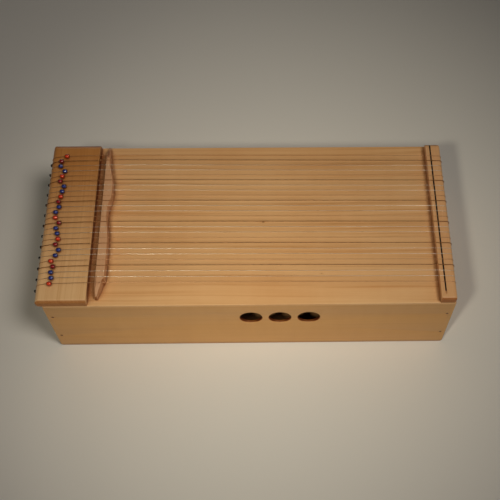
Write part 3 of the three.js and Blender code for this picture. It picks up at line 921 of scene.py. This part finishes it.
def over_the_blocks(number, radius):
    """Up over the string rest, through the bead, over bridge and rod, and round the nut block's nose."""
    nose = Vector((rest_low.x + REST_NOSE, rest_high.z - REST_NOSE))
    wrap = REST_NOSE + GAP + radius
    bead = bead_place(number)
    axis = Vector(joints[f"slide_bead_{number:02d}"]["axis"])
    slope = axis.z / axis.x
    bend_x = bead.x - BEAD_RADIUS - BEAD_BACK_TRAVEL
    bend = Vector((bend_x, bead.z + slope * (bend_x - bead.x)))
    leaves = touching_angle(nose, wrap, bend, 1)
    crown = Vector((bridge_low.x + BRIDGE_CROWN, bridge_high.z + radius))
    rod = Vector((RIGHT - ROD_FROM_RIGHT, nut_high.z + ROD_PROUD + radius))
    nut_nose = Vector((RIGHT - NUT_NOSE, nut_high.z - NUT_NOSE))
    nut_wrap = NUT_NOSE + GAP + radius
    lands = touching_angle(nut_nose, nut_wrap, rod, -1)
    line = arc(nose, wrap, 180, leaves, 14)
    line += [bend, (crown.x - 2 * MM, bend.y + (crown.y - bend.y) * 0.975), crown,
             (crown.x + 3 * MM, crown.y - 0.04 * MM), rod]
    line += arc(nut_nose, nut_wrap, lands, 0, 10)
    y = string_y(number)
    return [(x, y, z) for x, z in line]


def round_the_hitch_pin(number, radius):
    """Down the end wall, round the hitch pin and back up to the string. Its first point is still wound."""
    y, hitch = string_y(number), hitch_z(number)
    down_x = RIGHT + GAP + radius
    loop = HITCH_RADIUS + WIRE_RADIUS + GAP
    points = [(down_x, y, hitch + rise) for rise in (WINDING_END + 1 * MM, WINDING_END)]
    for i in range(17):
        angle = math.radians(180 + 180 * i / 16)
        points.append((down_x, y + loop * math.cos(angle), hitch + loop * math.sin(angle)))
    return points + [(down_x + 0.5 * MM, y + 0.4 * MM, hitch + TIE_END)]


def string_path(number, radius):
    """The string's centre line and how much of its winding is left at each point."""
    lead = round_the_coil(number, radius)
    span = over_the_blocks(number, radius)
    loop = round_the_hitch_pin(number, radius)
    girth = [0.0] * len(lead) + [1.0] * (len(span) + 1) + [0.0] * (len(loop) - 1)
    return lead + span + loop, girth


def twist(number, radius):
    """The few turns that close the loop at the hitch pin."""
    y, hitch = string_y(number), hitch_z(number)
    down_x = RIGHT + GAP + radius
    reach, steps = 2 * WIRE_RADIUS + 0.02 * MM, 12
    path = []
    for i in range(TIE_TURNS * steps + 1):
        angle = 2 * math.pi * i / steps
        path.append((down_x + reach * math.cos(angle), y + reach * math.sin(angle),
                     hitch + TIE_START + TIE_PITCH * i / steps))
    return tube("twist", path, WIRE_RADIUS * 0.9, 6)


def strings():
    stood_for = ["strings_and_nut_rod"]
    for number in STRING_NUMBERS:
        radius, wire = WIRES[kind_of(number)]
        path, girth = string_path(number, radius)
        radii = [WIRE_RADIUS + (radius - WIRE_RADIUS) * share for share in girth]
        main = tube("main", path, radii, 12)
        main.data.materials.append(wire)
        tie = twist(number, radius)
        tie.data.materials.append(bare_wire(number))
        string = join(f"string_{number:02d}", [main, tie])
        fit(string, BOX_BODY, None, stood_for)

    pins = []
    for number in STRING_NUMBERS:
        place = Matrix.Translation((RIGHT, string_y(number), hitch_z(number)))
        profile = [(-HITCH_DEPTH, HITCH_RADIUS), (HITCH_PROUD - 1.3 * MM, HITCH_RADIUS),
                   (HITCH_PROUD - 1.0 * MM, 1.7 * HITCH_RADIUS),
                   (HITCH_PROUD - 0.3 * MM, 1.6 * HITCH_RADIUS), (HITCH_PROUD, 0.8 * HITCH_RADIUS)]
        pins.append(turned("pin", profile, 16, place))
    hitch_pins = join("hitch_pins", pins)
    fit(hitch_pins, BOX_BODY, BLUED_STEEL, stood_for)


def square_ring(x, half, corner, sides):
    """Points of a rounded square about the X axis, as many as a round ring has."""
    ring = []
    for k in range(sides):
        angle = 2 * math.pi * k / sides
        c, s = math.cos(angle), math.sin(angle)
        reach = min(half / max(abs(c), abs(s)), half * math.sqrt(2) - corner)
        ring.append((x, reach * c, reach * s))
    return ring


def tuning_pin(number):
    """A pin with a tapered square head and a few turns of its string."""
    place = Matrix.Translation(pin_place(number))
    sides = 32
    shoulder = -PIN_TIP + PIN_HEAD_LENGTH
    half = PIN_HEAD / 2
    rings = [(PIN_DEPTH, PIN_RADIUS * 0.7), (PIN_DEPTH - 1 * MM, PIN_RADIUS),
             (shoulder + 0.5 * MM, PIN_RADIUS)]
    points = [(x, r * math.cos(2 * math.pi * k / sides), r * math.sin(2 * math.pi * k / sides))
              for x, r in rings for k in range(sides)]
    for x, size in ((shoulder, half), (-PIN_TIP + 0.5 * MM, half * 0.92), (-PIN_TIP, half * 0.78)):
        points += square_ring(x, size, 0.35 * MM, sides)
    shaft = add_mesh("shaft", [place @ Vector(p) for p in points], ring_faces(6, sides), 28)
    shaft.data.materials.append(BLUED_STEEL)

    reach, steps = PIN_RADIUS + WIRE_RADIUS, 24
    start_x = rest_low.x - pin_place(number).x + 0.1 * MM
    path = []
    for i in range(COIL_TURNS * steps + 1):
        angle = 2 * math.pi * i / steps
        path.append(place @ Vector((start_x + COIL_PITCH * i / steps,
                                    reach * math.cos(angle), reach * math.sin(angle))))
    coil = tube("coil", path, WIRE_RADIUS, 8)
    coil.data.materials.append(bare_wire(number))
    piece = join(f"pin_and_coil_{number:02d}", [shaft, coil])
    fit(piece, f"pin_{number:02d}", None, [f"tuning_pin_{number:02d}"])


def bead(number):
    """A pressed bead: round outside, with a rolled edge into its hole."""
    node = f"tuning_bead_{number:02d}"
    axis = Vector(joints[f"slide_bead_{number:02d}"]["axis"])
    tilt = Vector((1, 0, 0)).rotation_difference(axis).to_matrix().to_4x4()
    turn = Matrix.Translation(bead_place(number)) @ tilt
    sides, steps = 40, 24
    section_x, section_r = BEAD_RADIUS * 0.98, (BEAD_RADIUS - BEAD_HOLE) / 2
    middle = (BEAD_RADIUS + BEAD_HOLE) / 2
    points = []
    for i in range(steps):
        angle = 2 * math.pi * i / steps
        # the outside is full and round, the wall of the hole nearly straight
        out = math.cos(angle)
        bulge = math.copysign(abs(out) ** (1.0 if out > 0 else 0.45), out)
        x = section_x * math.sin(angle) * (1.0 if out > 0 else 0.98)
        radius = middle + section_r * bulge
        for k in range(sides):
            around = 2 * math.pi * k / sides
            points.append(turn @ Vector((x, radius * math.cos(around), radius * math.sin(around))))
    faces = ring_faces(steps, sides, closed=False)
    last = (steps - 1) * sides
    faces += [(last + k, last + (k + 1) % sides, (k + 1) % sides, k) for k in range(sides)]
    slot = next(part["material_slot"] for part in frame["record"]["subparts"] if part["node"] == node)
    fit(add_mesh(f"bead_{number:02d}_glass", points, faces, 60), f"bead_{number:02d}",
        BEAD_GLASS[slot], [node])


# ---- Floor, light and camera -----------------------------------------------------------------------


def floor():
    radius, sides, under_box = 6.0, 24, -0.05 * MM
    angles = [2 * math.pi * k / sides for k in range(sides)]
    points = [(radius * math.cos(angle), radius * math.sin(angle), under_box) for angle in angles]
    sheet = add_mesh("floor", points, [tuple(range(sides))])
    sheet.data.materials.append(floor_paper())


def softbox(name, place, aim, size, power, spread_deg, colour):
    lamp = bpy.data.lights.new(name, "AREA")
    lamp.shape, lamp.size, lamp.energy, lamp.color = "DISK", size, power, colour
    lamp.spread = math.radians(spread_deg)
    obj = bpy.data.objects.new(name, lamp)
    obj.location = place
    obj.rotation_euler = (Vector(aim) - Vector(place)).to_track_quat("-Z", "Y").to_euler()
    bpy.context.scene.collection.objects.link(obj)


def backdrop():
    """Pale where it is seen directly, and nearly dark as a light."""
    world = bpy.data.worlds.new("studio")
    world.use_nodes = True
    tree = world.node_tree
    ambient = tree.nodes["Background"]
    ambient.inputs["Color"].default_value = (*AMBIENT, 1.0)
    ambient.inputs["Strength"].default_value = AMBIENT_STRENGTH
    seen = tree.nodes.new("ShaderNodeBackground")
    seen.inputs["Color"].default_value = (*BACKDROP, 1.0)
    either = tree.nodes.new("ShaderNodeMixShader")
    rays = tree.nodes.new("ShaderNodeLightPath")
    tree.links.new(rays.outputs["Is Camera Ray"], either.inputs[0])
    tree.links.new(ambient.outputs[0], either.inputs[1])
    tree.links.new(seen.outputs[0], either.inputs[2])
    tree.links.new(either.outputs[0], tree.nodes["World Output"].inputs["Surface"])
    return world


def studio():
    softbox("key_right", place=(1.42, -1.15, 3.40), aim=(-0.10, -0.06, 0.0), size=1.25, power=2.6,
            spread_deg=38, colour=(1.0, 0.91, 0.80))
    softbox("fill_left", place=(-0.40, -1.10, 1.67), aim=(0.04, -0.05, 0.0), size=0.18, power=0.54,
            spread_deg=35, colour=(1.0, 0.93, 0.74))
    softbox("rim_back", place=(-0.60, 2.30, 0.75), aim=(0.0, 0.10, 0.07), size=0.90, power=0.22,
            spread_deg=44, colour=(1.0, 0.95, 0.88))
    bpy.context.scene.world = backdrop()
    bpy.context.scene.view_settings.view_transform = "Standard"


def camera():
    """Looks down on the box from in front, through a lens whose picture is cut off centre."""
    view = bpy.data.cameras.new("camera")
    view.lens, view.sensor_width = 63.108, 36.0
    view.shift_x, view.shift_y = -0.0811, 0.0970
    obj = bpy.data.objects.new("camera", view)
    stands_at = (0.03179, -0.78405, 1.36471)
    turn_right, pitch_down, roll = 2.810, 62.280, 1.950
    obj.matrix_world = (
        Matrix.Translation(stands_at)
        @ Matrix.Rotation(math.radians(-turn_right), 4, "Z")
        @ Matrix.Rotation(math.radians(90 - pitch_down), 4, "X")
        @ Matrix.Rotation(math.radians(roll), 4, "Z"))
    bpy.context.scene.collection.objects.link(obj)
    bpy.context.scene.camera = obj


box_pieces()
string_rest()
nut_block()
bridge()
strings()
for string_number in STRING_NUMBERS:
    tuning_pin(string_number)
    bead(string_number)
floor()
studio()
camera()
